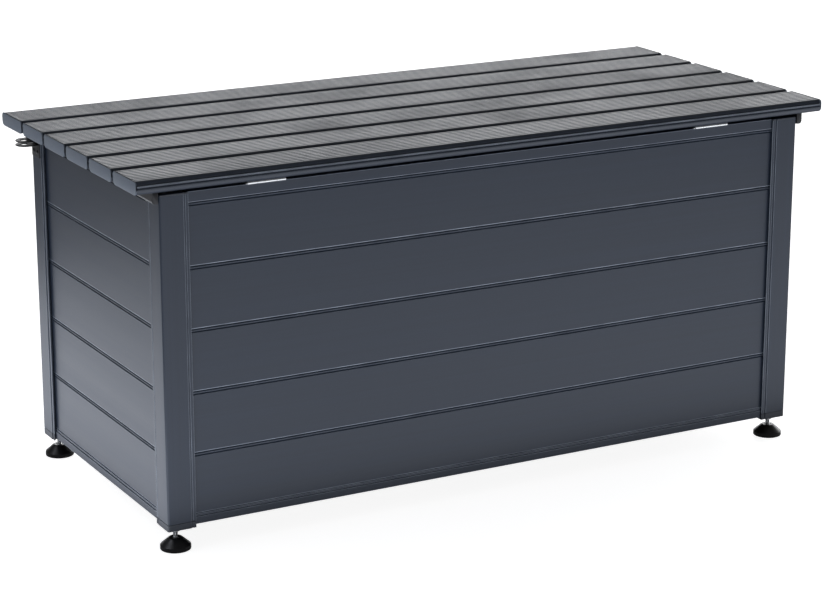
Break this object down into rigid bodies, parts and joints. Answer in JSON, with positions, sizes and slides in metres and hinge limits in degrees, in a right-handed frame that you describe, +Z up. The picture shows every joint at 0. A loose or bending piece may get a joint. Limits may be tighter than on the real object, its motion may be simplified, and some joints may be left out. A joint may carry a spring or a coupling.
{
  "type": "deck storage box",
  "caption": "Aluminium deck storage box: slatted wall boards between corner posts, hinged slatted lid on gas stays, padlock tabs and levelling feet.",
  "frame": {"origin": "on the floor under the middle of the lid", "axes": "+X along the length; -Y towards the hinged side, +Y towards the side that lifts; +Z up"},
  "size_m": [1.262, 0.575, 0.6025],
  "materials": {
    "casing_aluminium": "fine-textured anthracite powder coat, satin",
    "slat_aluminium": "anthracite powder coat, satin, fine grooves along the top",
    "batten_black": "black powder coat",
    "tab_black": "black powder-coated steel",
    "hinge_steel": "brushed stainless steel",
    "stud_steel": "bright zinc-plated steel",
    "rod_chrome": "hard chrome",
    "stay_black": "black painted steel tube",
    "foot_plastic": "moulded black plastic, satin",
    "floor_panel": "dark grey plastic sheet"
  },
  "bodies": {
    "casing": {"rear_left_post": "casing_aluminium", "rear_right_post": "casing_aluminium", "front_right_post": "casing_aluminium", "front_left_post": "casing_aluminium", "rear_board_1": "casing_aluminium", "rear_board_2": "casing_aluminium", "rear_board_3": "casing_aluminium", "rear_board_4": "casing_aluminium", "rear_board_5": "casing_aluminium", "rear_bottom_rail": "casing_aluminium", "rear_top_rail": "casing_aluminium", "right_board_1": "casing_aluminium", "right_board_2": "casing_aluminium", "right_board_3": "casing_aluminium", "right_board_4": "casing_aluminium", "right_board_5": "casing_aluminium", "right_bottom_rail": "casing_aluminium", "right_top_rail": "casing_aluminium", "front_board_1": "casing_aluminium", "front_board_2": "casing_aluminium", "front_board_3": "casing_aluminium", "front_board_4": "casing_aluminium", "front_board_5": "casing_aluminium", "front_bottom_rail": "casing_aluminium", "front_top_rail": "casing_aluminium", "left_board_1": "casing_aluminium", "left_board_2": "casing_aluminium", "left_board_3": "casing_aluminium", "left_board_4": "casing_aluminium", "left_board_5": "casing_aluminium", "left_bottom_rail": "casing_aluminium", "left_top_rail": "casing_aluminium", "floor_panel": "floor_panel", "hinge_left_casing_leaf": "hinge_steel", "hinge_right_casing_leaf": "hinge_steel", "casing_lock_tab": "tab_black"},
    "lid": {"slat_1": "slat_aluminium", "slat_2": "slat_aluminium", "slat_3": "slat_aluminium", "slat_4": "slat_aluminium", "slat_5": "slat_aluminium", "slat_6": "slat_aluminium", "end_batten_left": "batten_black", "end_batten_right": "batten_black", "centre_batten": "batten_black", "hinge_left_lid_leaf": "hinge_steel", "hinge_right_lid_leaf": "hinge_steel", "lid_lock_tab": "tab_black"},
    "stay_left_cylinder": {"stay_left_cylinder": "stay_black"},
    "stay_left_rod": {"stay_left_rod": "rod_chrome"},
    "stay_right_cylinder": {"stay_right_cylinder": "stay_black"},
    "stay_right_rod": {"stay_right_rod": "rod_chrome"},
    "rear_left_foot": {"rear_left_foot_pad": "foot_plastic", "rear_left_foot_stud": "stud_steel"},
    "rear_right_foot": {"rear_right_foot_pad": "foot_plastic", "rear_right_foot_stud": "stud_steel"},
    "front_right_foot": {"front_right_foot_pad": "foot_plastic", "front_right_foot_stud": "stud_steel"},
    "front_left_foot": {"front_left_foot_pad": "foot_plastic", "front_left_foot_stud": "stud_steel"}
  },
  "joints": [
    {"name": "lid_hinge", "type": "hinge", "parent": "casing", "child": "lid", "pos_m": [0, -0.2755, 0.57775], "axis": [1, 0, 0], "range_deg": [0, 85]},
    {"name": "stay_left_swing", "type": "hinge", "parent": "casing", "child": "stay_left_cylinder", "pos_m": [-0.53, -0.2115, 0.34775], "axis": [1, 0, 0], "range_deg": [0, 7.43]},
    {"name": "stay_left_extend", "type": "slide", "parent": "stay_left_cylinder", "child": "stay_left_rod", "axis": [0, 0, 1], "range_m": [0, 0.0871]},
    {"name": "stay_right_swing", "type": "hinge", "parent": "casing", "child": "stay_right_cylinder", "pos_m": [0.53, -0.2115, 0.34775], "axis": [1, 0, 0], "range_deg": [0, 7.43]},
    {"name": "stay_right_extend", "type": "slide", "parent": "stay_right_cylinder", "child": "stay_right_rod", "axis": [0, 0, 1], "range_m": [0, 0.0871]},
    {"name": "rear_left_foot_screw", "type": "slide", "parent": "casing", "child": "rear_left_foot", "axis": [0, 0, -1], "range_m": [0, 0.012]},
    {"name": "rear_right_foot_screw", "type": "slide", "parent": "casing", "child": "rear_right_foot", "axis": [0, 0, -1], "range_m": [0, 0.012]},
    {"name": "front_right_foot_screw", "type": "slide", "parent": "casing", "child": "front_right_foot", "axis": [0, 0, -1], "range_m": [0, 0.012]},
    {"name": "front_left_foot_screw", "type": "slide", "parent": "casing", "child": "front_left_foot", "axis": [0, 0, -1], "range_m": [0, 0.012]}
  ],
  "couplings": [
    {"joint": "stay_left_swing", "follows": "lid_hinge", "ratio": 0.08388},
    {"joint": "stay_left_extend", "follows": "lid_hinge", "m_per_rad": 0.05805},
    {"joint": "stay_right_swing", "follows": "lid_hinge", "ratio": 0.08388},
    {"joint": "stay_right_extend", "follows": "lid_hinge", "m_per_rad": 0.05805}
  ]
}
